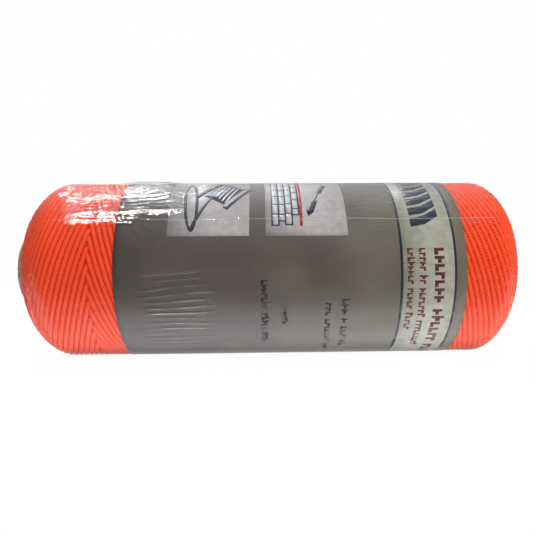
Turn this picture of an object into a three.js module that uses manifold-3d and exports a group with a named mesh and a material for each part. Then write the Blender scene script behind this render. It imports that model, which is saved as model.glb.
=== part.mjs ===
// Tube of twisted nylon mason's line in its shop wrapping, lying on its side.
//
// A spiral-wound paper tube carries one cross-wound package of line. A paper label is wrapped
// and glued round the package, and a clear sleeve is shrunk over the lot, leaving a round hole
// at each end where the paper tube shows. Millimetres, +X along the tube, +Z up, and the origin
// on the floor under the middle.

import * as THREE from "three";
import Module from "manifold-3d";
import { mergeVertices } from "three/addons/utils/BufferGeometryUtils.js";

// Whole package
const PACKAGE_RADIUS = 31;
const OVERALL_LENGTH = 170;

// Every round piece has the same flats, so nested walls stay parallel.
const FACETS = 48;
const FACET_ANGLE = (2 * Math.PI) / FACETS;
const TO_CORNER = 1 / Math.cos(FACET_ANGLE / 2);

// Clear shrink sleeve
const FILM_THICKNESS = 0.35;
const FILM_HOLE_RADIUS = 13.2;
const FILM_LEFT_END = -83.6;
const FILM_RIGHT_END = 84.7;
const LEFT_DOME_DEPTH = 14.1;
const RIGHT_DOME_DEPTH = 11.6;
const LEFT_DOME_POWER = 1.65;
const RIGHT_DOME_POWER = 1.79;
const DOME_STEPS = 7;
const SEAM_ANGLE = THREE.MathUtils.degToRad(148.5);
const SEAM_WIDTH = 1.4;
const SEAM_THICKNESS = 0.15;
const SEAM_STANDOFF = 0.05;

// Paper label, wound once round with a glued lap at the back
const LABEL_LEFT = -48.3;
const LABEL_RIGHT = 61.8;
const LABEL_INNER_RADIUS = 29.95;
const LABEL_THICKNESS = 0.2;
const LAP_RISE = 0.4;
const LAP_START_FACET = 1;
const LAP_FACETS = 2;
const GLUE_THICKNESS = 0.1;
const GLUE_END_MARGIN = 4;

// Line: an outer double layer over the rest of the winding
const LINE_DIAMETER = 1.8;
const WINDING_CLEARANCE = 0.15;
const LABEL_BED_RADIUS = 29.8;
const LABEL_BED_MARGIN = 0.6;
const OUTER_LAYER_THICKNESS = 1.9;
const LAYER_GAP = 0.15;

// Free end of the line, tucked into the outer layer at the back, between the label and the left dome
const FREE_END_STEPS = 10;
const FREE_END_SIDES = 8;
const FREE_END_START = { x: -63, angle: -22 };
const FREE_END_FINISH = { x: -56, angle: 25 };
const FREE_END_TOP_RADIUS = 30.45;
const FREE_END_CLEARANCE = 0.3;

// Paper tube: liner, body and outer plies
const CORE_LEFT = -OVERALL_LENGTH / 2;
const CORE_RIGHT = OVERALL_LENGTH / 2;
const CORE_BORE_RADIUS = 9.5;
const CORE_RADIUS = 12;
const LINER_THICKNESS = 0.45;
const OUTER_PLY_THICKNESS = 0.4;
const PLY_GAP = 0.1;
const CORE_CLEARANCE = 0.3;

const wasm = await Module();
wasm.setup();

function finish(colour, roughness, extra = {}) {
  return new THREE.MeshStandardMaterial({ color: colour, roughness, metalness: 0, ...extra });
}

const paperboard = finish(0x9c8b73, 0.9);
const nylon = finish(0xff4a1e, 0.55);
const labelPaper = finish(0x6f6a64, 0.6);
const glue = finish(0xd9cfae, 0.5);
const film = finish(0xf2f5f7, 0.08, { transparent: true, opacity: 0.2 });

const assembly = new THREE.Group();

function addPiece(name, geometry, material) {
  const mesh = new THREE.Mesh(geometry, material);
  mesh.name = name;
  assembly.add(mesh);
}

// Turns an outline of [x, radius] points, closed on itself, about the tube's axis.
function turn(outline) {
  const profile = [...outline, outline[0]].map(([x, radius]) => new THREE.Vector2(radius * TO_CORNER, x));
  const geometry = new THREE.LatheGeometry(profile, FACETS, FACET_ANGLE / 2);
  const alongX = new THREE.Matrix4().makeBasis(
    new THREE.Vector3(0, 0, 1),
    new THREE.Vector3(1, 0, 0),
    new THREE.Vector3(0, 1, 0),
  );
  return geometry.applyMatrix4(alongX);
}

// Extrudes a shape drawn in Y and Z along X, from one end to the other.
function extrudeAlong(shape, left, right) {
  const geometry = new THREE.ExtrudeGeometry(shape, { depth: right - left, bevelEnabled: false });
  const alongX = new THREE.Matrix4().makeBasis(
    new THREE.Vector3(0, 1, 0),
    new THREE.Vector3(0, 0, 1),
    new THREE.Vector3(1, 0, 0),
  );
  return geometry.applyMatrix4(alongX).translate(left, 0, 0);
}

// Outline of one domed end: a superellipse from the hole's rim out to the package radius.
// inset moves the whole surface inwards; the points run from the rim to the cylinder.
function dome(end, side, depth, power, inset) {
  const depthHere = depth - inset;
  const rise = PACKAGE_RADIUS - inset - FILM_HOLE_RADIUS;
  const base = end - side * depth;
  return Array.from({ length: DOME_STEPS + 1 }, (_, step) => {
    const angle = (step / DOME_STEPS) * (Math.PI / 2);
    const x = base + side * depthHere * Math.cos(angle) ** (2 / power);
    return [x, FILM_HOLE_RADIUS + rise * Math.sin(angle) ** (2 / power)];
  });
}

// The package's surface from the left rim to the right rim, moved inwards by inset.
function packageOutline(inset) {
  const left = dome(FILM_LEFT_END, -1, LEFT_DOME_DEPTH, LEFT_DOME_POWER, inset);
  const right = dome(FILM_RIGHT_END, 1, RIGHT_DOME_DEPTH, RIGHT_DOME_POWER, inset);
  return [...left, ...right.reverse()];
}

// Same surface, with the shallow bed that the label is wound into.
function beddedOutline(inset) {
  const bedLeft = LABEL_LEFT - LABEL_BED_MARGIN;
  const bedRight = LABEL_RIGHT + LABEL_BED_MARGIN;
  const outline = packageOutline(inset);
  const bed = [
    [bedLeft, PACKAGE_RADIUS - inset],
    [bedLeft, LABEL_BED_RADIUS],
    [bedRight, LABEL_BED_RADIUS],
    [bedRight, PACKAGE_RADIUS - inset],
  ];
  return [...outline.slice(0, DOME_STEPS + 1), ...bed, ...outline.slice(DOME_STEPS + 1)];
}

function tubePly(inner, outer) {
  return turn([[CORE_LEFT, inner], [CORE_LEFT, outer], [CORE_RIGHT, outer], [CORE_RIGHT, inner]]);
}

function polar(radius, angle) {
  return new THREE.Vector2(radius * Math.cos(angle), radius * Math.sin(angle));
}

// Corner of a flat, where index counts flats round from the back of the package.
function corner(radius, index) {
  return polar(radius * TO_CORNER, (index + 0.5) * FACET_ANGLE);
}

function toSolid(geometry) {
  const bare = geometry.clone();
  bare.deleteAttribute("normal");
  bare.deleteAttribute("uv");
  const merged = mergeVertices(bare, 1e-4);
  return new wasm.Manifold(new wasm.Mesh({
    numProp: 3,
    vertProperties: new Float32Array(merged.attributes.position.array),
    triVerts: new Uint32Array(merged.index.array),
  }));
}

function fromSolid(solid) {
  const mesh = solid.getMesh();
  const geometry = new THREE.BufferGeometry();
  geometry.setAttribute("position", new THREE.BufferAttribute(new Float32Array(mesh.vertProperties), 3));
  geometry.setIndex(new THREE.BufferAttribute(new Uint32Array(mesh.triVerts), 1));
  return geometry;
}

// Paper tube, drawn as three nested plies.
function makeCore() {
  const linerOuter = CORE_BORE_RADIUS + LINER_THICKNESS;
  const wrapInner = CORE_RADIUS - OUTER_PLY_THICKNESS;
  addPiece("core_liner_ply", tubePly(CORE_BORE_RADIUS, linerOuter), paperboard);
  addPiece("core_body_plies", tubePly(linerOuter + PLY_GAP, wrapInner - PLY_GAP), paperboard);
  addPiece("core_outer_ply", tubePly(wrapInner, CORE_RADIUS), paperboard);
}

// Round tube of line along the stretch where its free end lies on the package.
function freeEndTube(diameter) {
  const middleRadius = FREE_END_TOP_RADIUS - LINE_DIAMETER / 2;
  const stretch = (diameter - LINE_DIAMETER) / 2 / LINE_DIAMETER / FREE_END_STEPS;
  const points = Array.from({ length: FREE_END_STEPS + 1 }, (_, step) => {
    const share = step / FREE_END_STEPS;
    const along = share + (step === 0 ? -stretch : 0) + (step === FREE_END_STEPS ? stretch : 0);
    const x = THREE.MathUtils.lerp(FREE_END_START.x, FREE_END_FINISH.x, along);
    const angle = THREE.MathUtils.degToRad(
      THREE.MathUtils.lerp(FREE_END_START.angle, FREE_END_FINISH.angle, along),
    );
    const spot = polar(middleRadius, angle);
    return new THREE.Vector3(x, spot.x, spot.y);
  });
  const section = new THREE.Shape(Array.from({ length: FREE_END_SIDES }, (_, side) => {
    return polar(diameter / 2, (side / FREE_END_SIDES) * 2 * Math.PI);
  }));
  return new THREE.ExtrudeGeometry(section, {
    steps: FREE_END_STEPS,
    extrudePath: new THREE.CatmullRomCurve3(points),
    bevelEnabled: false,
  });
}

// The winding: its outer double layer, the line below that, and the free end in its channel.
function makeWinding() {
  const outerInset = FILM_THICKNESS + WINDING_CLEARANCE;
  const splitInset = outerInset + OUTER_LAYER_THICKNESS;
  const innerInset = splitInset + LAYER_GAP;
  const windingBore = CORE_RADIUS + CORE_CLEARANCE;
  const split = packageOutline(splitInset);
  const outerSurface = beddedOutline(outerInset);
  const outerLayer = turn([
    [split[0][0], windingBore],
    [outerSurface[0][0], windingBore],
    ...outerSurface,
    [outerSurface.at(-1)[0], windingBore],
    [split.at(-1)[0], windingBore],
    ...[...split].reverse(),
  ]);
  const channel = freeEndTube(LINE_DIAMETER + 2 * FREE_END_CLEARANCE);
  addPiece("line_outer_layer", fromSolid(toSolid(outerLayer).subtract(toSolid(channel))), nylon);
  const below = packageOutline(innerInset);
  const inner = turn([[below[0][0], windingBore], ...below, [below.at(-1)[0], windingBore]]);
  addPiece("line_inner_winding", inner, nylon);
  addPiece("line_free_end", freeEndTube(LINE_DIAMETER), nylon);
}

// One turn of paper that climbs over its own starting edge at the lap.
function makeLabel() {
  const last = FACETS + LAP_FACETS;
  const radii = Array.from({ length: last + 1 }, (_, index) => {
    return LABEL_INNER_RADIUS + (index >= FACETS ? LAP_RISE : 0);
  });
  const innerEdge = radii.map((radius, index) => corner(radius, LAP_START_FACET + index));
  const outerEdge = radii.map((radius, index) => {
    return corner(radius + LABEL_THICKNESS, LAP_START_FACET + index);
  });
  const sheet = new THREE.Shape([...outerEdge, ...innerEdge.reverse()]);
  addPiece("label_sheet", extrudeAlong(sheet, LABEL_LEFT, LABEL_RIGHT), labelPaper);
  const gap = (LAP_RISE - LABEL_THICKNESS - GLUE_THICKNESS) / 2;
  const glueInner = LABEL_INNER_RADIUS + LABEL_THICKNESS + gap;
  const glueOuter = glueInner + GLUE_THICKNESS;
  const line = new THREE.Shape([
    corner(glueOuter, LAP_START_FACET),
    corner(glueOuter, LAP_START_FACET + 1),
    corner(glueInner, LAP_START_FACET + 1),
    corner(glueInner, LAP_START_FACET),
  ]);
  const glueLeft = LABEL_LEFT + GLUE_END_MARGIN;
  const glueRight = LABEL_RIGHT - GLUE_END_MARGIN;
  addPiece("label_glue_line", extrudeAlong(line, glueLeft, glueRight), glue);
}

// Shrunk sleeve with its two end holes, and the welded seam along its front.
function makeFilm() {
  const outer = packageOutline(0);
  const inner = packageOutline(FILM_THICKNESS);
  addPiece("film_sleeve", turn([...outer, ...inner.reverse()]), film);
  const seamCentre = PACKAGE_RADIUS * TO_CORNER + SEAM_STANDOFF + SEAM_THICKNESS / 2;
  const strip = new THREE.Shape([
    new THREE.Vector2(-SEAM_THICKNESS / 2, -SEAM_WIDTH / 2),
    new THREE.Vector2(SEAM_THICKNESS / 2, -SEAM_WIDTH / 2),
    new THREE.Vector2(SEAM_THICKNESS / 2, SEAM_WIDTH / 2),
    new THREE.Vector2(-SEAM_THICKNESS / 2, SEAM_WIDTH / 2),
  ]);
  const seamLeft = FILM_LEFT_END + LEFT_DOME_DEPTH;
  const seamRight = FILM_RIGHT_END - RIGHT_DOME_DEPTH;
  const seam = extrudeAlong(strip, seamLeft, seamRight);
  seam.translate(0, seamCentre, 0).rotateX(SEAM_ANGLE);
  addPiece("film_seam", seam, film);
}

makeCore();
makeWinding();
makeLabel();
makeFilm();
assembly.position.z = PACKAGE_RADIUS;

export default assembly;
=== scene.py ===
import math
import random
import bmesh
import bpy
import numpy as np
from mathutils import Matrix, Vector, noise


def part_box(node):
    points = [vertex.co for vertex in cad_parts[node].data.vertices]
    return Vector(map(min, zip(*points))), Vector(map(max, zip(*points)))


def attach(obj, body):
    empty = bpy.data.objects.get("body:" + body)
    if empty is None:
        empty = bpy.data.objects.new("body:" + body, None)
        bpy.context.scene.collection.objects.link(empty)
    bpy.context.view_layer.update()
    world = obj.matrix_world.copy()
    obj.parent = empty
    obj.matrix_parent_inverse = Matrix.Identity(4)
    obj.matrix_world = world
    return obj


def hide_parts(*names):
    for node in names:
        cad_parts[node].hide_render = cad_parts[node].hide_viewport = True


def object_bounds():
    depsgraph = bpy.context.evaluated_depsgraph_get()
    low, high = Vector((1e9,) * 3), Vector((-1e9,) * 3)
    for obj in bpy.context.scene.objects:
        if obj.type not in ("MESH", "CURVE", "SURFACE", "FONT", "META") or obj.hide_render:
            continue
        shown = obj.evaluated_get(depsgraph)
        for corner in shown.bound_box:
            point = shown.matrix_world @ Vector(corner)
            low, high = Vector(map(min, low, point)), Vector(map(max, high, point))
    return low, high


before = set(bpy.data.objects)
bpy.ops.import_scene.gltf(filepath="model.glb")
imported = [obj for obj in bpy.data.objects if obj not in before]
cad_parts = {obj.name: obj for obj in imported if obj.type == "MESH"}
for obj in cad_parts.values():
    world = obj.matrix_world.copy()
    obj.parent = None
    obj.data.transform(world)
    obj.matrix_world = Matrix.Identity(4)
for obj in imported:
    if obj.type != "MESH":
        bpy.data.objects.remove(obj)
cad_low, cad_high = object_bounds()
mm = 0.001

# Paper tube
# Grey-brown paperboard strips wound spirally and glued into one stiff tube: a smooth liner,
# the body plies and an outer wrap. It is sawn to length, so its rims show the plies.
tube_low, tube_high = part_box("core_outer_ply")
body_low, body_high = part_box("core_body_plies")
liner_low, liner_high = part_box("core_liner_ply")
axis_height = (tube_low.z + tube_high.z) / 2
bore_radius = 9.5 * mm
rim_softening = 0.12 * mm
left_stand_out = 1.2 * mm
spiral_strip_width = 34 * mm
strip_joint_share = 0.02
ply_colours = {
    "tube_liner": (0.30, 0.25, 0.19),
    "tube_body_plies": (0.36, 0.29, 0.21),
    "tube_outer_ply": (0.42, 0.36, 0.28),
}


def add_piece(name, mesh):
    """Makes an object of a finished bmesh, with smooth faces, at the origin."""
    data = bpy.data.meshes.new(name)
    mesh.to_mesh(data)
    mesh.free()
    data.shade_smooth()
    piece = bpy.data.objects.new(name, data)
    bpy.context.scene.collection.objects.link(piece)
    return piece


def turn_outline(outline, steps=128):
    """Spins a closed outline of (x, radius) points once about the tube's axis."""
    mesh = bmesh.new()
    points = [mesh.verts.new((x, 0, axis_height + radius)) for x, radius in outline]
    edges = [mesh.edges.new(pair) for pair in zip(points, points[1:] + points[:1])]
    bmesh.ops.spin(
        mesh, geom=points + edges, cent=(0, 0, axis_height), axis=(1, 0, 0),
        angle=2 * math.pi, steps=steps, use_merge=True,
    )
    bmesh.ops.remove_doubles(mesh, verts=mesh.verts, dist=1e-7)
    bmesh.ops.recalc_face_normals(mesh, faces=mesh.faces)
    return mesh


def soften_rims(mesh, width):
    """Rounds the sharp edges of a turned piece."""
    sharp = [edge for edge in mesh.edges if edge.calc_face_angle(0) > math.radians(50)]
    bmesh.ops.bevel(
        mesh, geom=sharp, offset=width, segments=2, profile=0.5, affect="EDGES", material=-1,
    )


def node_material(name, colour, roughness):
    """New material with its node tree, links and principled shader."""
    material = bpy.data.materials.new(name)
    material.use_nodes = True
    nodes = material.node_tree.nodes
    shader = nodes["Principled BSDF"]
    shader.inputs["Base Color"].default_value = (*colour, 1)
    shader.inputs["Roughness"].default_value = roughness
    return material, nodes, material.node_tree.links, shader


def add_math(nodes, links, operation, first, second):
    """Math node on two values, each a socket or a number."""
    node = nodes.new("ShaderNodeMath")
    node.operation = operation
    for socket, value in zip(node.inputs, (first, second)):
        if isinstance(value, (int, float)):
            socket.default_value = value
        else:
            links.new(value, socket)
    return node.outputs[0]


def add_noise(nodes, links, vector, scale, detail=3.0):
    """Noise on a vector socket; gives its factor."""
    node = nodes.new("ShaderNodeTexNoise")
    node.inputs["Scale"].default_value = scale
    node.inputs["Detail"].default_value = detail
    links.new(vector, node.inputs["Vector"])
    return node.outputs["Fac"]


def add_ramp(nodes, links, value, stops):
    """Colour ramp with (position, colour) stops."""
    ramp = nodes.new("ShaderNodeValToRGB")
    elements = ramp.color_ramp.elements
    while len(elements) < len(stops):
        elements.new(0.5)
    for element, (position, colour) in zip(elements, stops):
        element.position = position
        element.color = (*colour, 1)
    links.new(value, ramp.inputs["Fac"])
    return ramp.outputs["Color"]


def add_bump(nodes, links, shader, height, strength, distance):
    """Bump from a height socket into a shader's normal."""
    bump = nodes.new("ShaderNodeBump")
    bump.inputs["Strength"].default_value = strength
    bump.inputs["Distance"].default_value = distance
    links.new(height, bump.inputs["Height"])
    links.new(bump.outputs["Normal"], shader.inputs["Normal"])


def shade(colour, factor):
    """Colour made lighter or darker."""
    return tuple(min(1.0, part * factor) for part in colour)


def paperboard(name, colour):
    """Fibrous board with the faint spiral joint of its wound strip."""
    material, nodes, links, shader = node_material(name, colour, 0.9)
    place = nodes.new("ShaderNodeTexCoord").outputs["Object"]
    parts = nodes.new("ShaderNodeSeparateXYZ")
    links.new(place, parts.inputs[0])
    height = add_math(nodes, links, "SUBTRACT", parts.outputs["Z"], axis_height)
    angle = add_math(nodes, links, "ARCTAN2", height, parts.outputs["Y"])
    turns = add_math(nodes, links, "DIVIDE", angle, 2 * math.pi)
    along = add_math(nodes, links, "DIVIDE", parts.outputs["X"], spiral_strip_width)
    strip = add_math(nodes, links, "FRACT", add_math(nodes, links, "ADD", along, turns), 0)
    joint = add_math(nodes, links, "LESS_THAN", strip, strip_joint_share)
    fibres = add_noise(nodes, links, place, 900, 5)
    worn = add_math(nodes, links, "SUBTRACT", fibres, add_math(nodes, links, "MULTIPLY", joint, 0.4))
    tint = add_ramp(nodes, links, worn, [(0.25, shade(colour, 0.6)), (0.7, shade(colour, 1.15))])
    links.new(tint, shader.inputs["Base Color"])
    add_bump(nodes, links, shader, worn, 0.35, 0.2 * mm)
    return material


liner_radius = (liner_high.y - liner_low.y) / 2
body_radius = (body_high.y - body_low.y) / 2
tube_radius = (tube_high.y - tube_low.y) / 2
ply_walls = {
    "tube_liner": ("core_liner_ply", bore_radius, liner_radius),
    "tube_body_plies": ("core_body_plies", liner_radius, body_radius),
    "tube_outer_ply": ("core_outer_ply", body_radius, tube_radius),
}
for ply_name, (node, inner, outer) in ply_walls.items():
    left, right = tube_low.x - left_stand_out, tube_high.x
    ply_mesh = turn_outline([(left, inner), (left, outer), (right, outer), (right, inner)])
    soften_rims(ply_mesh, rim_softening)
    ply = add_piece(ply_name, ply_mesh)
    ply.data.materials.append(paperboard(ply_name + "_board", ply_colours[ply_name]))
    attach(ply, "root")
    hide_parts(node)

# Line under the visible layer
# The rest of the same line, wound below the outer double layer. Only slivers of it show between the strands
# above, so it is one turned body with filament streaks round it.
film_low, film_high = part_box("film_sleeve")
package_radius = (film_high.z - film_low.z) / 2
film_rim_radius = 13.2 * mm
left_dome = {"end": film_low.x, "side": -1, "depth": 14.1 * mm, "power": 1.65}
right_dome = {"end": film_high.x, "side": 1, "depth": 11.6 * mm, "power": 1.79}
line_thickness = 1.6 * mm
line_cover = 0.22 * mm
bed_depth = 1.6 * line_thickness
bed_clearance = 0.3 * mm
nylon_orange = (0.93, 0.082, 0.022)


def dome(shape, inset, rim, steps):
    """Outline of one domed end from its rim to the cylinder, as rows of x and radius."""
    angle = np.linspace(0, math.pi / 2, steps)
    rise = package_radius - inset - rim
    base = shape["end"] - shape["side"] * shape["depth"]
    x = base + shape["side"] * (shape["depth"] - inset) * np.cos(angle) ** (2 / shape["power"])
    return np.column_stack([x, rim + rise * np.sin(angle) ** (2 / shape["power"])])


def package_outline(inset, rim, steps=60):
    """The package's surface from the left rim to the right one, moved inwards by inset."""
    left = dome(left_dome, inset, rim, steps)
    right = dome(right_dome, inset, rim, steps)
    return np.vstack([left, right[::-1]])


def nylon(name, darker, filament_place, ply_rise=None):
    """Fluorescent nylon with a painted orange glow; darker scales its colour as painted shade.
    filament_place says where filaments run, and ply_rise how plies stand up.
    """
    colour = shade(nylon_orange, darker)
    material, nodes, links, shader = node_material(name, colour, 0.5)
    shader.inputs["Specular IOR Level"].default_value = 0.22
    shader.inputs["Sheen Weight"].default_value = 0.04
    shader.inputs["Sheen Tint"].default_value = (1.0, 0.55, 0.35, 1)
    # Painted glow: a fixed orange emission stands for the fluorescence and lifts the shade between strands.
    shader.inputs["Emission Color"].default_value = (1.0, 0.06, 0.012, 1)
    shader.inputs["Emission Strength"].default_value = 0.08 * darker
    filaments = add_noise(nodes, links, filament_place(nodes, links), 1.0, 4)
    patches = add_noise(nodes, links, nodes.new("ShaderNodeTexCoord").outputs["Object"], 130, 3)
    mixed = add_math(nodes, links, "ADD", add_math(nodes, links, "MULTIPLY", filaments, 0.5),
                     add_math(nodes, links, "MULTIPLY", patches, 0.5))
    relief = filaments
    # The plies' rise also sets the colour: the ridges get a painted highlight and the grooves between plies
    # get painted shade.
    if ply_rise:
        rise = ply_rise(nodes, links)
        mixed = add_math(nodes, links, "ADD", add_math(nodes, links, "MULTIPLY", mixed, 0.66),
                         add_math(nodes, links, "MULTIPLY", rise, 0.34))
        relief = add_math(nodes, links, "ADD", rise, add_math(nodes, links, "MULTIPLY", filaments, 0.6))
    tint = add_ramp(nodes, links, mixed, [
        (0.25, shade(colour, 0.7)), (0.5, colour), (0.72, shade(colour, 1.16)),
    ])
    links.new(tint, shader.inputs["Base Color"])
    add_bump(nodes, links, shader, relief, 0.6, 0.16 * mm)
    return material


def along_package(nodes, links):
    """Filament streaks round the package, for the layers below the strands."""
    stretch = nodes.new("ShaderNodeMapping")
    stretch.inputs["Scale"].default_value = (900, 60, 60)
    links.new(nodes.new("ShaderNodeTexCoord").outputs["Object"], stretch.inputs["Vector"])
    return stretch.outputs["Vector"]


bed_outline = package_outline(line_cover + bed_depth, film_rim_radius)
bed_bore = tube_radius + bed_clearance
bed_points = [(bed_outline[0][0], bed_bore), *map(tuple, bed_outline), (bed_outline[-1][0], bed_bore)]
bed = add_piece("line_lower_layers", turn_outline(bed_points))
# Painted shade: the same nylon at 0.8 of its colour, so the slivers between the strands look shaded.
bed.data.materials.append(nylon("line_below_painted_shade", 0.8, along_package))
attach(bed, "root")
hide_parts("line_inner_winding")

# Line, outer double layer
# Three strands twisted together, wound criss-cross at a steady slant. Each pass lies beside the
# last one, so the newer passes cover the older in chevron bands. At the ends the line runs down
# the domes and turns back at the paper tube. It is drawn where the label leaves it bare.
passes = 32
pass_spacing = 1.7 * mm
line_half_widths = {"left": 0.93 * mm, "right": 1.02 * mm}
line_half_height = line_thickness / 2
twist_length = 3.5 * mm
lobe_depth = 0.23
section_sides = 10
path_step = 0.5 * mm
chevron_x = -57.2 * mm
chevron_facing = math.radians(6)
rim_turn_radius = 1.3 * mm
strand_gap_at_tube = 0.9 * mm
reach_into_gap = 2 * mm
tuck_under_label = 3 * mm
dive_length = 3.2 * mm
dive_share = 0.95
rim_settle_start = 3 * mm
rim_settle_length = 6 * mm
label_low, label_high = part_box("label_sheet")


def strand_outline():
    """Where strand centres run: into the gap at the tube, over the dome, along the body."""
    inset = line_cover + line_half_height
    rim = tube_radius + strand_gap_at_tube + rim_turn_radius
    surface = package_outline(inset, rim, 160)
    turn = np.linspace(0, math.pi / 2, 9)[:-1]

    def rim_arc(end, side):
        centre = end - side * rim_turn_radius
        arc_x = centre + side * rim_turn_radius * np.sin(turn)
        arc_radius = rim - rim_turn_radius * np.cos(turn)
        in_gap = [[centre - side * reach_into_gap, rim - rim_turn_radius]]
        return np.vstack([in_gap, np.column_stack([arc_x, arc_radius])])

    left = rim_arc(surface[0][0], -1)
    right = rim_arc(surface[-1][0], 1)
    return np.vstack([left, surface, right[::-1]])


outline = strand_outline()
outline_length = np.concatenate([[0], np.cumsum(np.hypot(*np.diff(outline, axis=0).T))])
fine_length = np.arange(0, outline_length[-1], 0.2 * mm)
fine_x = np.interp(fine_length, outline_length, outline[:, 0])
fine_radius = np.interp(fine_length, outline_length, outline[:, 1])
sine_of_slant = passes * pass_spacing / (2 * math.pi * fine_radius)
slant = np.arcsin(np.clip(sine_of_slant, 0, 0.9))
turns_per_length = 1 / (2 * math.pi * fine_radius * np.tan(slant))
wound_turns = np.concatenate([[0], np.cumsum(turns_per_length[:-1] * np.diff(fine_length))])
on_body = fine_radius > fine_radius.max() - 0.01 * mm
chevron_length = np.interp(chevron_x, fine_x[on_body], fine_length[on_body])
wound_turns += 0.5 - np.interp(chevron_length, fine_length, wound_turns)


def smoothed(values, count):
    """Running average over count samples, with the ends held."""
    padded = np.pad(values, count, mode="edge")
    kernel = np.hanning(count + 2)[1:-1]
    return np.convolve(padded, kernel / kernel.sum(), mode="same")[count:-count]


def strand_surface(lengths, rising, age, half_width):
    """Rings of points for one pass. rising is 1 for a pass that climbs to the right, or -1."""
    x = np.interp(lengths, outline_length, outline[:, 0])
    radius = np.interp(lengths, outline_length, outline[:, 1])
    turns = np.interp(lengths, fine_length, wound_turns)
    slope = np.gradient(np.column_stack([x, radius]), axis=0)
    slope /= np.linalg.norm(slope, axis=1)[:, None]
    angle = chevron_facing + 2 * math.pi * (rising * turns - age)
    other_age = (age - 2 * rising * turns) % 1.0
    covered = smoothed((other_age < age).astype(float), 2 * int(dive_length / path_step / 2) + 1)
    from_rim = np.minimum(lengths - rim_settle_start, outline_length[-1] - rim_settle_start - lengths)
    settle = np.clip(from_rim / rim_settle_length, 0.15, 1)
    facing = np.column_stack([-slope[:, 1], -slope[:, 0] * np.cos(angle), slope[:, 0] * np.sin(angle)])
    centre = np.column_stack([x, -radius * np.cos(angle), axis_height + radius * np.sin(angle)])
    centre -= facing * (covered * settle * line_thickness * dive_share)[:, None]
    along = np.gradient(centre, axis=0)
    along /= np.linalg.norm(along, axis=1)[:, None]
    sideways = np.cross(along, facing)
    path = np.concatenate([[0], np.cumsum(np.linalg.norm(np.diff(centre, axis=0), axis=1))])
    return strand_rings(centre, sideways, facing, path, age * 7, (half_width, line_half_height))


def strand_rings(centre, sideways, facing, path, start_turn, half_sizes):
    """Three-lobed sections along a path: their places, and each ply's turn and rise there."""
    around = np.linspace(0, 2 * math.pi, section_sides + 1)[:, None]
    ply_turn = around - 2 * math.pi * (path / twist_length + start_turn)
    rise = (1 + np.cos(3 * ply_turn)) / 2
    lobes = 1 - 2 * lobe_depth * (1 - rise)
    wide = (np.cos(around) * lobes * half_sizes[0])[..., None] * sideways
    high = (np.sin(around) * lobes * half_sizes[1])[..., None] * facing
    run = np.broadcast_to(path / (2 * mm), ply_turn.shape)
    turn = np.stack([np.cos(ply_turn), np.sin(ply_turn), run], axis=-1)
    return centre + wide + high, turn, rise


def skin_strands(name, ring_sets):
    """One piece from several strands' rings, closed at their ends."""
    mesh = bmesh.new()
    ply_turn = mesh.verts.layers.float_vector.new("ply_turn")
    ply_rise = mesh.verts.layers.float.new("ply_rise")
    for places, _, _ in ring_sets:
        bmesh.ops.create_grid(mesh, x_segments=places.shape[1] - 1, y_segments=section_sides, size=1)
    places, turns, rises = (np.concatenate([rings[part].reshape(-1, size) for rings in ring_sets])
                            for part, size in ((0, 3), (1, 3), (2, 1)))
    for point, place, turn, rise in zip(mesh.verts, places, turns, rises):
        point.co = place
        point[ply_turn] = Vector(turn)
        point[ply_rise] = rise[0]
    bmesh.ops.remove_doubles(mesh, verts=mesh.verts, dist=1e-7)
    open_edges = [edge for edge in mesh.edges if edge.is_boundary]
    bmesh.ops.holes_fill(mesh, edges=open_edges, sides=0)
    bmesh.ops.recalc_face_normals(mesh, faces=mesh.faces)
    return add_piece(name, mesh)


def lay_passes(name, start, finish, rising, shift, half_width):
    """All the passes of one slant between two lengths along the outline, as one piece."""
    lengths = [start]
    while lengths[-1] < finish:
        local_slant = np.interp(lengths[-1], fine_length, slant)
        lengths.append(lengths[-1] + path_step * math.sin(local_slant))
    lengths = np.array(lengths)
    return skin_strands(name, [
        strand_surface(lengths, rising, (index + shift) / passes, half_width) for index in range(passes)
    ])


def along_plies(nodes, links):
    """Filament streaks that follow each twisted ply."""
    attribute = nodes.new("ShaderNodeAttribute")
    attribute.attribute_name = "ply_turn"
    stretch = nodes.new("ShaderNodeMapping")
    stretch.inputs["Scale"].default_value = (5, 5, 1.2)
    links.new(attribute.outputs["Vector"], stretch.inputs["Vector"])
    return stretch.outputs["Vector"]


def ply_height(nodes, links):
    """How far the surface stands above the grooves between the plies."""
    attribute = nodes.new("ShaderNodeAttribute")
    attribute.attribute_name = "ply_rise"
    return attribute.outputs["Fac"]


strand_nylon = nylon("line_nylon", 1.0, along_plies, ply_height)
left_bare_end = np.interp(label_low.x + tuck_under_label, fine_x[on_body], fine_length[on_body])
right_bare_start = np.interp(label_high.x - tuck_under_label, fine_x[on_body], fine_length[on_body])
bare_stretches = {"left": (0, left_bare_end), "right": (right_bare_start, outline_length[-1])}
for end_name, (start, finish) in bare_stretches.items():
    for slant_name, rising, shift in (("rising", 1, 0.25), ("falling", -1, 0.75)):
        half_width = line_half_widths[end_name]
        strands = lay_passes(f"line_{end_name}_{slant_name}", start, finish, rising, shift, half_width)
        strands.data.materials.append(strand_nylon)
        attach(strands, "root")
        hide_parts("line_outer_layer")

# Label
# One sheet of coated paper, printed grey, wound once round the middle and lapped over its own
# starting edge at the back. It is cut a little out of square.
label_radius = package_radius - line_cover + 0.02 * mm
label_thickness = 0.11 * mm
lap_gap = 0.03 * mm
lap_climb = math.radians(8)
label_columns = 40
label_rows = 260
lap_start = math.radians(168.75)
lap_turn = math.radians(15)
label_face = label_radius + label_thickness
label_browns = [
    (0.0, (0.086, 0.068, 0.060)), (0.45, (0.108, 0.087, 0.076)), (1.0, (0.158, 0.139, 0.098)),
]


def sheet_radius(turned):
    """Inner radius of the sheet after turning through an angle from its starting edge."""
    climb = np.clip((turned - (2 * math.pi - lap_climb)) / lap_climb, 0, 1)
    return label_radius + climb * climb * (3 - 2 * climb) * (label_thickness + lap_gap)


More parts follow.
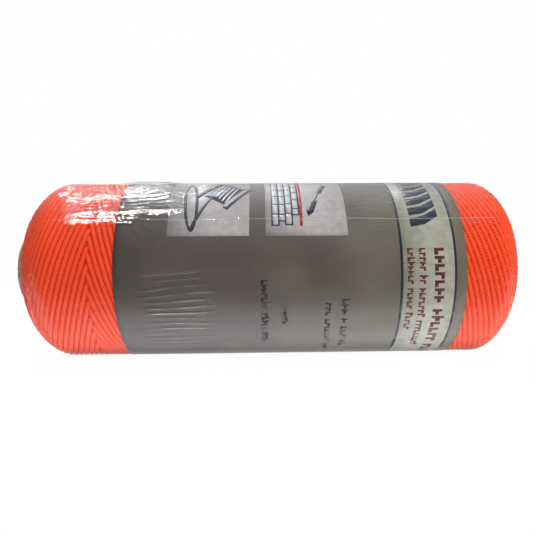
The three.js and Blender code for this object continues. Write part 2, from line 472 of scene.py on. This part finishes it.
def sheet_drift(x, angle):
    """How far the sheet strays sideways, because its edges aren't quite square."""
    share = (x - label_low.x) / (label_high.x - label_low.x)
    left = -0.85 * mm * math.cos(angle + 0.1) ** 2
    right = 0.3 * mm - 0.7 * mm * math.sin(angle)
    return left * (1 - share) + right * share


label_mesh = bmesh.new()
bmesh.ops.create_grid(label_mesh, x_segments=label_columns, y_segments=label_rows, size=1)
for point in label_mesh.verts:
    turned = (point.co.y + 1) / 2 * (2 * math.pi + lap_turn)
    angle = lap_start - turned
    x = label_low.x + (point.co.x + 1) / 2 * (label_high.x - label_low.x)
    radius = sheet_radius(turned)
    point.co = (x + sheet_drift(x, angle), -radius * math.cos(angle), axis_height + radius * math.sin(angle))
bmesh.ops.recalc_face_normals(label_mesh, faces=label_mesh.faces)
bmesh.ops.solidify(label_mesh, geom=label_mesh.faces[:], thickness=-label_thickness)
label = add_piece("label_sheet_paper", label_mesh)
label_paper, nodes, links, shader = node_material("label_coated_paper", label_browns[1][1], 0.42)
shader.inputs["Specular IOR Level"].default_value = 0.3
place = nodes.new("ShaderNodeTexCoord").outputs["Object"]
parts = nodes.new("ShaderNodeSeparateXYZ")
links.new(place, parts.inputs[0])
along = add_math(nodes, links, "SUBTRACT", parts.outputs["X"], label_low.x)
along = add_math(nodes, links, "DIVIDE", along, label_high.x - label_low.x)
clouds = add_math(nodes, links, "SUBTRACT", add_noise(nodes, links, place, 55, 4), 0.5)
along = add_math(nodes, links, "ADD", along, add_math(nodes, links, "MULTIPLY", clouds, 1.3))
links.new(add_ramp(nodes, links, along, label_browns), shader.inputs["Base Color"])
add_bump(nodes, links, shader, add_noise(nodes, links, place, 180, 2), 0.1, 0.1 * mm)
label.data.materials.append(label_paper)
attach(label, "root")
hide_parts("label_sheet")

# Label glue
# A bead of hot-melt glue, pressed flat under the lap. It shows only as a line at the edge.
glue_low, glue_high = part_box("label_glue_line")
glue_inset = math.radians(5)
glue_half_turn = math.radians(3)
glue_thickness = 0.02 * mm
glue_mesh = bmesh.new()
bmesh.ops.create_grid(glue_mesh, x_segments=60, y_segments=4, size=1)
for point in glue_mesh.verts:
    x = glue_low.x + (point.co.x + 1) / 2 * (glue_high.x - glue_low.x)
    wander = noise.noise(Vector((x / (6 * mm), 0, 3))) * 0.03
    angle = lap_start - glue_inset + point.co.y * (glue_half_turn + 0.3 * wander) + wander * 0.4
    radius = label_face + 0.005 * mm
    point.co = (x, -radius * math.cos(angle), axis_height + radius * math.sin(angle))
bmesh.ops.recalc_face_normals(glue_mesh, faces=glue_mesh.faces)
bmesh.ops.solidify(glue_mesh, geom=glue_mesh.faces[:], thickness=-glue_thickness)
glue = add_piece("label_glue_bead", glue_mesh)
glue_material, nodes, links, shader = node_material("hot_melt_glue", (0.62, 0.52, 0.33), 0.35)
place = nodes.new("ShaderNodeTexCoord").outputs["Object"]
cloud = add_noise(nodes, links, place, 500, 2)
links.new(add_ramp(nodes, links, cloud, [(0.3, (0.5, 0.4, 0.24)), (0.7, (0.7, 0.62, 0.42))]),
          shader.inputs["Base Color"])
glue.data.materials.append(glue_material)
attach(glue, "root")
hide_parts("label_glue_line")

# Label print
# Ink laid on the grey sheet before it was wound: two pale panels with line drawings, a pale band
# between navy rules, and rows of small print, all shown here as plain shapes with no wording.
ink_lift = 0.012 * mm
ink_thickness = 0.008 * mm
ink_bend = 1.5 * mm
lilac_white = (0.415, 0.375, 0.37)
band_white = (0.37, 0.36, 0.28)
navy = (0.008, 0.012, 0.036)
maroon = (0.10, 0.010, 0.014)
black_ink = (0.018, 0.017, 0.018)
line_red = (0.36, 0.02, 0.02)
brick_face = (0.48, 0.48, 0.50)


def add_block(mesh, x_range, round_range, lean=0.0):
    """Flat printed block; round is measured round the label from its front, upwards."""
    made = bmesh.ops.create_grid(mesh, x_segments=1, y_segments=1, size=0.5)["verts"]
    sizes = (x_range[1] - x_range[0], round_range[1] - round_range[0])
    bmesh.ops.scale(mesh, verts=made, vec=(*sizes, 1))
    bmesh.ops.rotate(mesh, verts=made, matrix=Matrix.Rotation(lean, 3, "Z"))
    bmesh.ops.translate(mesh, verts=made, vec=(sum(x_range) / 2, sum(round_range) / 2, 0))


def add_ring(mesh, middle, radii, width, lean=0.0):
    """Printed outline of an ellipse, given its two outer radii."""
    loops = []
    for inset in (0, width):
        made = bmesh.ops.create_circle(mesh, segments=36, radius=1)["verts"]
        bmesh.ops.scale(mesh, verts=made, vec=(radii[0] - inset, radii[1] - inset, 1))
        bmesh.ops.rotate(mesh, verts=made, matrix=Matrix.Rotation(lean, 3, "Z"))
        bmesh.ops.translate(mesh, verts=made, vec=(*middle, 0))
        loops += list({edge for point in made for edge in point.link_edges})
    bmesh.ops.bridge_loops(mesh, edges=loops)


def add_shape(mesh, corners):
    """Printed solid polygon with its corners in millimetres."""
    mesh.faces.new([mesh.verts.new((x * mm, rounded * mm, 0)) for x, rounded in corners])


def print_on_label(name, mesh, colour, layer):
    """Bends a flat print round the label and gives it its ink. A higher layer lies on a lower one."""
    low, high = (pick(point.co.y for point in mesh.verts) for pick in (min, max))
    for cut in np.arange(low + ink_bend, high, ink_bend):
        geometry = mesh.verts[:] + mesh.edges[:] + mesh.faces[:]
        bmesh.ops.bisect_plane(mesh, geom=geometry, plane_co=(0, cut, 0), plane_no=(0, 1, 0))
    for point in mesh.verts:
        x, angle = point.co.x, point.co.y / label_face
        turned = (lap_start - angle) % (2 * math.pi)
        turned += 2 * math.pi if turned < lap_turn else 0
        radius = sheet_radius(turned) + label_thickness + ink_lift * layer
        x += sheet_drift(x, angle)
        point.co = (x, -radius * math.cos(angle), axis_height + radius * math.sin(angle))
    mesh.normal_update()
    for face in mesh.faces:
        middle = face.calc_center_median()
        if face.normal.dot(Vector((0, middle.y, middle.z - axis_height))) < 0:
            face.normal_flip()
    bmesh.ops.solidify(mesh, geom=mesh.faces[:], thickness=-ink_thickness)
    piece = add_piece(name, mesh)
    material, nodes, links, shader = node_material(name + "_ink", colour, 0.42)
    speckle = add_noise(nodes, links, nodes.new("ShaderNodeTexCoord").outputs["Object"], 420, 4)
    tint = add_ramp(nodes, links, speckle, [(0.3, shade(colour, 0.84)), (0.7, shade(colour, 1.14))])
    links.new(tint, shader.inputs["Base Color"])
    piece.data.materials.append(material)
    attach(piece, "root")


panel_low, panel_high = 10.3 * mm, 50 * mm
panel_sides = ((-32.1 * mm, -6.3 * mm), (-1.2 * mm, 24.8 * mm))
panels = bmesh.new()
for sides in panel_sides:
    add_block(panels, sides, (panel_low, panel_high))
print_on_label("print_pale_panels", panels, lilac_white, 1)

band_turn = (-math.pi * label_face, math.pi * label_face)
band_low, band_high, rule_width = 41.2 * mm, 58.1 * mm, 0.7 * mm
band = bmesh.new()
add_block(band, (band_low, band_high), band_turn)
print_on_label("print_pale_band", band, band_white, 1)
rules = bmesh.new()
for rule_x in (band_low, band_high):
    add_block(rules, (rule_x - rule_width / 2, rule_x + rule_width / 2), band_turn)
print_on_label("print_band_rules", rules, navy, 2)

course_width, brick_length, mortar = 2.15 * mm, 3.9 * mm, 0.48 * mm
course_feet = (13.8 * mm, 15.4 * mm, 14.0 * mm, 17.8 * mm)
wall_left, wall_top = 0.7 * mm, 48 * mm
wall = bmesh.new()
bricks = bmesh.new()
for course, foot in enumerate(course_feet):
    left = wall_left + course * course_width
    right = left + course_width
    add_block(wall, (left, right + mortar), (foot, wall_top))
    start = foot + mortar
    length = brick_length * (0.55 if course % 2 else 1)
    while start + length < wall_top:
        add_block(bricks, (left + mortar, right), (start, start + length))
        start += length + mortar
        length = brick_length
print_on_label("print_wall_joints", wall, navy, 2)
print_on_label("print_wall_bricks", bricks, brick_face, 3)

red_line = bmesh.new()
add_block(red_line, (9.8 * mm, 10.7 * mm), (13.7 * mm, wall_top))
print_on_label("print_stretched_line", red_line, line_red, 4)

trowel = bmesh.new()
add_shape(trowel, ((12.6, 17.4), (14.4, 19.2), (16.2, 24.8), (13.4, 23.8), (12.0, 20.0)))
add_block(trowel, (15.5 * mm, 16.1 * mm), (23.8 * mm, 29.8 * mm), lean=-0.35)
add_block(trowel, (17.1 * mm, 18.9 * mm), (28.8 * mm, 36.5 * mm), lean=-0.35)
print_on_label("print_trowel", trowel, navy, 2)

winder = bmesh.new()
add_ring(winder, (-25.3 * mm, 24.0 * mm), (2.4 * mm, 12.2 * mm), 1.0 * mm, lean=0.06)
add_block(winder, (-22.4 * mm, -21.3 * mm), (12.3 * mm, 27.3 * mm), lean=-0.40)
add_block(winder, (-18.6 * mm, -10.4 * mm), (24.0 * mm, 36.0 * mm), lean=-0.62)
add_block(winder, (-20.6 * mm, -18.6 * mm), (25.5 * mm, 39.5 * mm), lean=-0.62)
add_block(winder, (-11.2 * mm, -9.2 * mm), (19.5 * mm, 33.5 * mm), lean=-0.62)
print_on_label("print_line_winder", winder, navy, 2)
turns = bmesh.new()
turn_count, turn_pitch = 5, 2.1
half_width, half_length = 0.28, 4.6
for step in range(turn_count):
    shift = (step - (turn_count - 1) / 2) * turn_pitch
    x, rounded = -14.5 + 0.81 * shift * 0.62, 30.0 - 0.58 * shift
    x_range = ((x - half_width) * mm, (x + half_width) * mm)
    round_range = ((rounded - half_length) * mm, (rounded + half_length) * mm)
    add_block(turns, x_range, round_range, lean=-0.42)
print_on_label("print_winder_turns", turns, brick_face, 3)

rope = bmesh.new()
rope_foot, rope_top, rope_pitch = 13.2, 46, 4.3
for lay in np.arange(rope_foot, rope_top, rope_pitch):
    add_shape(rope, ((45.0, lay), (49.6, lay + 0.9), (54.2, lay + 4.0), (54.2, lay + 7.2),
                     (49.6, lay + 4.3), (45.0, lay + 3.2)))
print_on_label("print_rope_mark", rope, navy, 2)


def print_row(mesh, x_low, x_high, top, bottom, words, bold, generator):
    """Row of small print running down the label: strokes and specks that spell nothing."""
    height = x_high - x_low
    word_gap = 0.8
    unit = (top - bottom) / (sum(words) + word_gap * (len(words) - 1))
    place = top
    for letters in words:
        for _ in range(letters):
            tall = height * generator.choice((1.0, 0.76, 0.76, 0.76))
            stem, speck = unit * bold, unit * (0.86 - bold)
            add_block(mesh, (x_low, x_low + tall), (place - stem, place))
            lift = x_low + generator.choice((0.0, 0.5, 1.0)) * 0.62 * tall
            add_block(mesh, (lift, lift + 0.38 * tall), (place - stem - speck, place - stem))
            place -= unit
        place -= word_gap * unit


generator = random.Random(18)
titles = bmesh.new()
print_row(titles, 51.5 * mm, 55.6 * mm, 6.0 * mm, -42 * mm, (7, 6, 4), 0.38, generator)
print_row(titles, 46.7 * mm, 49.3 * mm, 6.0 * mm, -32 * mm, (5, 2, 7, 9), 0.36, generator)
print_row(titles, 42.9 * mm, 45.3 * mm, 6.0 * mm, -22.6 * mm, (8, 5, 5), 0.36, generator)
print_on_label("print_title_rows", titles, maroon, 2)
details = bmesh.new()
print_row(details, 22.5 * mm, 25.1 * mm, -10.2 * mm, -32 * mm, (3, 1, 3, 2), 0.22, generator)
print_row(details, 17.3 * mm, 19.5 * mm, -11.6 * mm, -35 * mm, (3, 7, 3), 0.2, generator)
print_row(details, 3.6 * mm, 5.5 * mm, -13.2 * mm, -19.6 * mm, (5,), 0.22, generator)
print_row(details, -2.9 * mm, -0.3 * mm, -3.8 * mm, -29.2 * mm, (7, 5, 4), 0.26, generator)
print_on_label("print_detail_rows", details, black_ink, 2)

# Free end of the line
# The last few centimetres of line, pressed flat under the film at the back between the label
# and the left dome. Its cut tip is melted so that the three strands don't open.
end_low, end_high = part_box("line_free_end")
end_start = math.radians(180 + 22)
end_finish = math.radians(180 - 25)
end_sizes = (line_half_widths["left"], 0.62 * mm)
end_radius = package_radius - line_cover + 0.8 * end_sizes[1]


def free_end_place(share):
    """Place along the package and angle round it, at a share of the free end's length."""
    angle = end_start + share * (end_finish - end_start)
    x = end_low.x + end_sizes[0] + share * (end_high.x - end_low.x - 2 * end_sizes[0])
    return x, angle


end_share = np.linspace(0, 1, 90)
end_x, end_angle = free_end_place(end_share)
end_facing = np.column_stack([0 * end_angle, -np.cos(end_angle), np.sin(end_angle)])
end_centre = end_facing * end_radius + np.array([0, 0, axis_height])
end_centre[:, 0] = end_x
end_along = np.gradient(end_centre, axis=0)
end_along /= np.linalg.norm(end_along, axis=1)[:, None]
end_path = np.concatenate([[0], np.cumsum(np.linalg.norm(np.diff(end_centre, axis=0), axis=1))])
end_taper = np.clip(np.minimum(end_share, 1 - end_share) * 18 + 0.35, 0, 1)[:, None]
end_rings = strand_rings(end_centre, np.cross(end_along, end_facing) * end_taper, end_facing * end_taper,
                         end_path, 0, end_sizes)
free_end = skin_strands("line_tucked_end", [end_rings])
free_end.data.materials.append(strand_nylon)
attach(free_end, "root")
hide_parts("line_free_end")

# Shrink sleeve
# Clear film tube slipped over the package and shrunk with hot air. It is taut along the body,
# crumpled where it shrank unevenly, and gathered into pleats round the open hole at each end.
film_thickness = 0.03 * mm
film_over_label = 0.05 * mm
film_over_line = 0.14 * mm
film_columns = 178
film_rows = 264
pleat_reach = 8 * mm
pleat_count = 23
row_shares = (0, 0.13, 0.86, 1)
row_degrees = (-180, -64, 96, 180)
column_shares = (0, 0.14, 0.68, 1)
column_places = (0, 0.165, 0.46, 1)
ripple_pitch = 2.15 * mm
ripple_height = 0.03
peak_height = 0.7
band_height = 0.15
pleat_height = 0.2
lap_height = 0.14
free_end_height = 1.05
free_end_reach = 1.9 * mm
crease_height = 0.16 * mm
crumple_patches = {
    "upper_left": (1.0, (-63, -30, 5), (38, 74, 7)),
    "left_edge": (0.7, (-64, -44, 3), (29, 70, 4)),
    "trail_over_label": (0.8, (-50, -16, 12), (58, 80, 8)),
    "upper_right": (0.25, (30, 72, 8), (26, 66, 8)),
    "ripple_fan": (0.2, (-41, -20, 7), (-46, -4, 7)),
    "low_front": (0.22, (-58, 18, 10), (-58, -22, 6)),
}


def inside(value, low, high, soft):
    """1 between low and high, fading to 0 over soft outside them."""
    rise = min(1.0, max(0.0, (value - low) / soft + 1))
    fall = min(1.0, max(0.0, (high - value) / soft + 1))
    return (rise * rise * (3 - 2 * rise)) * (fall * fall * (3 - 2 * fall))


def film_noise(x, angle, along, across, seed, slant=0.0):
    """Smooth noise with no joint round the package, drawn out along it and turned by slant."""
    turned = angle + slant * x / package_radius
    reach = package_radius / across
    return noise.noise(Vector((x / along, reach * math.cos(turned), reach * math.sin(turned) + 40 * seed)))


def film_patch(x, degrees, amount, along, around):
    """Amount inside a patch, given as lowest, highest and soft edge in millimetres and in degrees."""
    low, high, soft = along
    return amount * inside(x, low * mm, high * mm, soft * mm) * inside(degrees, *around)


def film_crumple(x, degrees):
    """How crumpled the film is: most on the upper left, a little on the upper right."""
    return max(film_patch(x, degrees, *patch) for patch in crumple_patches.values())


def film_ripple(x, angle):
    """Fine lengthwise ripples: how many lie below a place on the film, and how deep they are there."""
    degrees = (math.degrees(angle) + 180) % 360 - 180
    upper = inside(degrees, 20, 90, 8)
    turns = math.radians(degrees) * package_radius / ripple_pitch - x / (32 * mm)
    turns += 0.5 * film_noise(x, angle, 14 * mm, 9 * mm, 5)
    turns += 1.1 * upper * film_noise(x, angle, 7 * mm, 5 * mm, 8)
    fan = inside(x, -37 * mm, -22 * mm, 6 * mm) * inside(degrees, -50, -3, 8)
    fan *= max(0.0, 0.75 + 1.5 * film_noise(x, angle, 9 * mm, 3 * mm, 6))
    creased = upper * film_crumple(x, degrees)
    creased *= max(0.0, 0.7 + 1.6 * film_noise(x, angle, 7 * mm, 2.5 * mm, 11))
    return turns, max(fan, 1.15 * creased)


def film_lift(x, radius, angle):
    """How far the film stands off its smooth shape at a place; the parts are in millimetres."""
    degrees = (math.degrees(angle) + 180) % 360 - 180
    tension = film_noise(x, angle, 30 * mm, 2.8 * mm, 1) * 0.02
    folds = abs(film_noise(x, angle, 15 * mm, 2.2 * mm, 2, 0.08)) * 0.06
    folds += abs(film_noise(x, angle, 6 * mm, 1.5 * mm, 3, -0.15)) * 0.07
    folds += max(0.0, film_noise(x, angle, 20 * mm, 5 * mm, 4)) * 0.1
    nicks = inside(x, -46 * mm, -25 * mm, 4 * mm) * inside(degrees, 22, 35, 4)
    nicks += 0.6 * inside(x, -63 * mm, -46 * mm, 3 * mm) * inside(degrees, 28, 34, 3)
    nicks *= max(0.0, film_noise(x, angle, 2.2 * mm, 1.7 * mm, 9, 9.0) - 0.12) * 0.55
    peak = inside(x, -46 * mm, -38 * mm, 9 * mm) * inside(degrees, 84, 96, 14) * peak_height
    turns, depth = film_ripple(x, angle)
    ripples = depth * ((1 + math.sin(2 * math.pi * turns)) / 2) ** 2 * ripple_height
    bands = film_noise(x, angle, 30 * mm, 3.5 * mm, 7, -0.12) * band_height
    bands *= inside(degrees, -60, -8, 8)
    near_rim = max(0.0, 1 - (radius - film_rim_radius) / pleat_reach)
    wander = noise.noise(Vector((math.cos(angle) * 2.5, math.sin(angle) * 2.5, x / (20 * mm))))
    pleats = (1 + math.sin(pleat_count * angle + 5 * wander)) * pleat_height
    pleats *= near_rim ** 1.6
    pleats *= 1 - near_rim
    lap = math.degrees(lap_start) - (math.degrees(angle) % 360)
    over_lap = inside(lap, -2, 17, 3) * inside(x, label_low.x, label_high.x, 2 * mm) * lap_height
    share = min(1.0, max(0.0, (end_start - angle % (2 * math.pi)) / (end_start - end_finish)))
    end_x, end_angle = free_end_place(share)
    away = math.hypot(x - end_x, radius * (angle % (2 * math.pi) - end_angle))
    over_end = math.exp(-(away / free_end_reach) ** 2) * free_end_height
    folds *= film_crumple(x, degrees) * inside(degrees, 20, 100, 8)
    return (tension + folds + nicks + peak + ripples + bands + pleats + over_lap + over_end) * mm


film_curve = package_outline(0, film_rim_radius, 90)
film_run = np.concatenate([[0], np.cumsum(np.hypot(*np.diff(film_curve, axis=0).T))])
film_slope = np.gradient(film_curve, axis=0)
film_slope /= np.linalg.norm(film_slope, axis=1)[:, None]
film_mesh = bmesh.new()
crumple_layer = film_mesh.verts.layers.float.new("crumple")
cling_layer = film_mesh.verts.layers.float.new("cling")
ripple_turn_layer = film_mesh.verts.layers.float.new("ripple_turn")
ripple_depth_layer = film_mesh.verts.layers.float.new("ripple_depth")
bmesh.ops.create_grid(film_mesh, x_segments=film_columns, y_segments=film_rows, size=1)
for point in film_mesh.verts:
    run = float(np.interp((point.co.x + 1) / 2, column_shares, column_places)) * film_run[-1]
    degrees = float(np.interp((point.co.y + 1) / 2, row_shares, row_degrees))
    angle = math.radians(degrees)
    x, radius = (float(np.interp(run, film_run, film_curve[:, column])) for column in (0, 1))
    slope = Vector([np.interp(run, film_run, film_slope[:, column]) for column in (0, 1)]).normalized()
    on_label = inside(x, label_low.x, label_high.x, 1.6 * mm)
    lift = film_lift(x, radius, angle) - film_over_line + on_label * (film_over_line - film_over_label)
    point[crumple_layer] = film_crumple(x, degrees)
    point[cling_layer] = (1 - on_label) * (1 - point[crumple_layer])
    point[ripple_turn_layer], point[ripple_depth_layer] = film_ripple(x, angle)
    x, radius = x - slope[1] * lift, radius + slope[0] * lift
    point.co = (x, -radius * math.cos(angle), axis_height + radius * math.sin(angle))
bmesh.ops.remove_doubles(film_mesh, verts=film_mesh.verts, dist=1e-7)
bmesh.ops.recalc_face_normals(film_mesh, faces=film_mesh.faces)
bmesh.ops.solidify(film_mesh, geom=film_mesh.faces[:], thickness=film_thickness)
bmesh.ops.recalc_face_normals(film_mesh, faces=film_mesh.faces)
film = add_piece("film_shrunk_sleeve", film_mesh)


def clear_film(name, cloud):
    """Clear glossy film, creased as its mesh says; cloud is the share of it that looks white."""
    material = bpy.data.materials.new(name)
    material.use_nodes = True
    nodes, links = material.node_tree.nodes, material.node_tree.links
    nodes.clear()
    through = nodes.new("ShaderNodeBsdfTransparent")
    through.inputs["Color"].default_value = (0.985, 0.99, 0.99, 1)
    white = nodes.new("ShaderNodeBsdfDiffuse")
    white.inputs["Color"].default_value = (0.9, 0.9, 0.9, 1)
    sheet = nodes.new("ShaderNodeMixShader")
    sheet.inputs[0].default_value = cloud
    links.new(through.outputs[0], sheet.inputs[1])
    links.new(white.outputs[0], sheet.inputs[2])
    gloss = nodes.new("ShaderNodeBsdfGlossy")
    gloss.inputs["Roughness"].default_value = 0.045
    fresnel = nodes.new("ShaderNodeFresnel")
    fresnel.inputs["IOR"].default_value = 1.5
    place = nodes.new("ShaderNodeTexCoord").outputs["Object"]
    amounts = {}
    for layer_name in ("crumple", "cling", "ripple_turn", "ripple_depth"):
        attribute = nodes.new("ShaderNodeAttribute")
        attribute.attribute_name = layer_name
        amounts[layer_name] = attribute.outputs["Fac"]
    stretch = nodes.new("ShaderNodeMapping")
    stretch.inputs["Scale"].default_value = (52, 440, 440)
    links.new(place, stretch.inputs["Vector"])
    bent = nodes.new("ShaderNodeVectorMath")
    links.new(stretch.outputs["Vector"], bent.inputs[0])
    swirl = nodes.new("ShaderNodeTexNoise")
    swirl.inputs["Scale"].default_value = 0.9
    links.new(stretch.outputs["Vector"], swirl.inputs["Vector"])
    links.new(swirl.outputs["Color"], bent.inputs[1])
    cracks = nodes.new("ShaderNodeTexVoronoi")
    cracks.feature = "DISTANCE_TO_EDGE"
    links.new(bent.outputs["Vector"], cracks.inputs["Vector"])
    ridges = add_ramp(nodes, links, cracks.outputs["Distance"], [(0.0, (1, 1, 1)), (0.15, (0, 0, 0))])
    ridges = add_math(nodes, links, "MULTIPLY", ridges, amounts["crumple"])
    ridges = add_math(nodes, links, "MULTIPLY", ridges, 0.9)
    wrinkles = add_noise(nodes, links, stretch.outputs["Vector"], 1.4, 2)
    wrinkles = add_math(nodes, links, "MULTIPLY", wrinkles,
                        add_math(nodes, links, "ADD", amounts["crumple"], 0.06))
    dents = add_math(nodes, links, "MULTIPLY", add_noise(nodes, links, place, 560, 1), amounts["cling"])
    dents = add_math(nodes, links, "MULTIPLY", dents, 1.5)
    ripple_angle = add_math(nodes, links, "MULTIPLY", amounts["ripple_turn"], 2 * math.pi)
    wave = add_math(nodes, links, "SINE", ripple_angle, 0)
    wave = add_math(nodes, links, "MULTIPLY", wave, 0.5)
    wave = add_math(nodes, links, "POWER", add_math(nodes, links, "ADD", wave, 0.5), 3)
    wave = add_math(nodes, links, "MULTIPLY", wave, amounts["ripple_depth"])
    wave = add_math(nodes, links, "MULTIPLY", wave, 2)
    height = add_math(nodes, links, "ADD", add_math(nodes, links, "ADD", ridges, wrinkles), dents)
    height = add_math(nodes, links, "ADD", height, wave)
    bump = nodes.new("ShaderNodeBump")
    bump.inputs["Strength"].default_value = 1.0
    bump.inputs["Distance"].default_value = crease_height
    links.new(height, bump.inputs["Height"])
    links.new(bump.outputs["Normal"], gloss.inputs["Normal"])
    links.new(bump.outputs["Normal"], fresnel.inputs["Normal"])
    outside = add_math(nodes, links, "SUBTRACT", 1, nodes.new("ShaderNodeNewGeometry").outputs["Backfacing"])
    loose = add_math(nodes, links, "SUBTRACT", 1, add_math(nodes, links, "MULTIPLY", amounts["cling"], 0.42))
    mirrored = add_math(nodes, links, "MULTIPLY", fresnel.outputs[0], outside)
    mirrored = add_math(nodes, links, "MULTIPLY", mirrored, loose)
    mixed = nodes.new("ShaderNodeMixShader")
    links.new(mirrored, mixed.inputs[0])
    links.new(sheet.outputs[0], mixed.inputs[1])
    links.new(gloss.outputs[0], mixed.inputs[2])
    output = nodes.new("ShaderNodeOutputMaterial")
    links.new(mixed.outputs[0], output.inputs["Surface"])
    return material


film.data.materials.append(clear_film("shrink_film", 0.0))
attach(film, "root")
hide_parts("film_sleeve")

# Film seam
# The sleeve was made from flat film, welded and trimmed along one line. The narrow welded lip
# lies flat along the front, above the middle.
seam_angle = math.radians(30.2)
seam_low, seam_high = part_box("film_seam")
seam_half_width = 0.16 * mm
seam_thickness = 0.04 * mm
seam_standoff = 0.035 * mm
seam_crumpling = 0.6
seam_cloud = 0.11
seam_mesh = bmesh.new()
seam_crumple = seam_mesh.verts.layers.float.new("crumple")
bmesh.ops.create_grid(seam_mesh, x_segments=300, y_segments=3, size=1)
for point in seam_mesh.verts:
    x = seam_low.x + (point.co.x + 1) / 2 * (seam_high.x - seam_low.x)
    drift = film_noise(x, 0, 24 * mm, 9 * mm, 21) * 0.03 + film_noise(x, 0, 4 * mm, 9 * mm, 22) * 0.006
    angle = seam_angle + drift + point.co.y * seam_half_width / package_radius
    bead = seam_thickness * (1 - point.co.y ** 2)
    lift = film_lift(x, package_radius, angle)
    radius = package_radius - film_over_label + seam_standoff + bead + lift
    point[seam_crumple] = seam_crumpling
    point.co = (x, -radius * math.cos(angle), axis_height + radius * math.sin(angle))
bmesh.ops.recalc_face_normals(seam_mesh, faces=seam_mesh.faces)
bmesh.ops.solidify(seam_mesh, geom=seam_mesh.faces[:], thickness=seam_thickness)
bmesh.ops.recalc_face_normals(seam_mesh, faces=seam_mesh.faces)
seam = add_piece("film_welded_seam", seam_mesh)
seam.data.materials.append(clear_film("seam_film", seam_cloud))
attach(seam, "root")
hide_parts("film_seam")

# Camera
# Level with the tube's axis, a little to the left of its middle, and about three package
# diameters away.
camera_distance = 6.38 * package_radius
camera_yaw = 0.03
camera_roll = 0.008
middle = Vector(((cad_low.x + cad_high.x) / 2, 0, axis_height))
camera_data = bpy.data.cameras.new("camera")
sensor_width = 36
camera_data.sensor_width = sensor_width
camera_data.lens = sensor_width * 535 / 536
camera_data.clip_start = 5 * mm
camera = bpy.data.objects.new("camera", camera_data)
bpy.context.scene.collection.objects.link(camera)
camera.location = middle + camera_distance * Vector((-math.sin(camera_yaw), -math.cos(camera_yaw), 0))
look = (middle - camera.location).to_track_quat("-Z", "Y")
camera.rotation_mode = "QUATERNION"
camera.rotation_quaternion = look @ Matrix.Rotation(-camera_roll, 4, "Z").to_quaternion()
bpy.context.scene.camera = camera

# Floor
# Plain white table, seen by the camera as one even white. For every other ray its emission paints the light
# round the package: a painted shadow right under it, a painted bright strip below each side, and a falloff
# further away, and the film mirrors that.
glow_reach = 0.12
floor_mesh = bmesh.new()
bmesh.ops.create_grid(floor_mesh, x_segments=1, y_segments=1, size=3)
floor = add_piece("floor", floor_mesh)
floor_material, nodes, links, shader = node_material("floor_white_with_painted_light", (0.06, 0.06, 0.06), 1.0)
shader.inputs["Specular IOR Level"].default_value = 0.0
parts = nodes.new("ShaderNodeSeparateXYZ")
links.new(nodes.new("ShaderNodeTexCoord").outputs["Object"], parts.inputs[0])
away = add_math(nodes, links, "ABSOLUTE", parts.outputs["Y"], 0)
# Painted shadow under the package, painted light in a strip each side, fading further out.
glow = add_ramp(nodes, links, add_math(nodes, links, "DIVIDE", away, glow_reach), [
    (0.1, (0.5, 0.5, 0.5)), (0.17, (1.6, 1.65, 1.74)), (0.28, (1.65, 1.7, 1.8)), (0.4, (0.5, 0.5, 0.5)),
    (0.75, (0.2, 0.2, 0.2)),
])
seen = nodes.new("ShaderNodeLightPath").outputs["Is Camera Ray"]
choose = nodes.new("ShaderNodeMix")
choose.data_type = "RGBA"
links.new(seen, choose.inputs["Factor"])
links.new(glow, choose.inputs["A"])
choose.inputs["B"].default_value = (0.96, 0.96, 0.96, 1)
links.new(choose.outputs["Result"], shader.inputs["Emission Color"])
shader.inputs["Emission Strength"].default_value = 1.0
floor.data.materials.append(floor_material)

# Studio light
# A room that is bright overhead and dim at eye level, with a window-like lamp and a weaker strip
# high at the back left for the film's creases to catch. Two soft fills light without a mirror image.
world = bpy.data.worlds.new("studio")
bpy.context.scene.world = world
world.use_nodes = True
nodes, links = world.node_tree.nodes, world.node_tree.links
background = nodes["Background"]
direction = nodes.new("ShaderNodeTexCoord").outputs["Generated"]
parts = nodes.new("ShaderNodeSeparateXYZ")
links.new(direction, parts.inputs[0])
behind = add_math(nodes, links, "MULTIPLY", parts.outputs["Y"], 0.2)
aside = add_math(nodes, links, "MULTIPLY", add_math(nodes, links, "ABSOLUTE", parts.outputs["X"], 0), -0.6)
height = add_math(nodes, links, "ADD", parts.outputs["Z"], add_math(nodes, links, "ADD", behind, aside))
room = add_ramp(nodes, links, height, [
    (0.0, (0.17, 0.17, 0.17)), (0.1, (0.22, 0.22, 0.23)), (0.39, (0.45, 0.46, 0.48)),
    (0.6, (0.7, 0.72, 0.75)), (0.83, (1.0, 1.03, 1.07)), (1.0, (1.5, 1.55, 1.6)),
])
seen = nodes.new("ShaderNodeLightPath").outputs["Is Camera Ray"]
choose = nodes.new("ShaderNodeMix")
choose.data_type = "RGBA"
links.new(seen, choose.inputs["Factor"])
links.new(room, choose.inputs["A"])
choose.inputs["B"].default_value = (1, 1, 1, 1)
links.new(choose.outputs["Result"], background.inputs["Color"])

# Each lamp's place, size, energy in watts, and whether the film mirrors it.
lamps = {
    "lamp_left_window": ((-0.21, 0.27, 0.54), (0.2, 0.035), 1.7, True),
    "lamp_back_strip": ((-0.22, 0.42, 0.44), (0.2, 0.025), 0.3, True),
    "lamp_left_fill": ((-0.35, -0.25, 0.12), (0.2, 0.2), 0.12, False),
    "lamp_right_fill": ((0.28, -0.45, 0.25), (0.3, 0.3), 2.5, False),
}
for lamp_name, (lamp_place, lamp_size, energy, mirrored) in lamps.items():
    lamp_data = bpy.data.lights.new(lamp_name, "AREA")
    lamp_data.shape = "RECTANGLE"
    lamp_data.size, lamp_data.size_y = lamp_size
    lamp_data.energy = energy
    lamp = bpy.data.objects.new(lamp_name, lamp_data)
    bpy.context.scene.collection.objects.link(lamp)
    lamp.location = lamp_place
    lamp.rotation_mode = "QUATERNION"
    lamp.rotation_quaternion = (middle - lamp.location).to_track_quat("-Z", "Y")
    lamp.visible_glossy = mirrored
bpy.context.scene.view_settings.view_transform = "Standard"
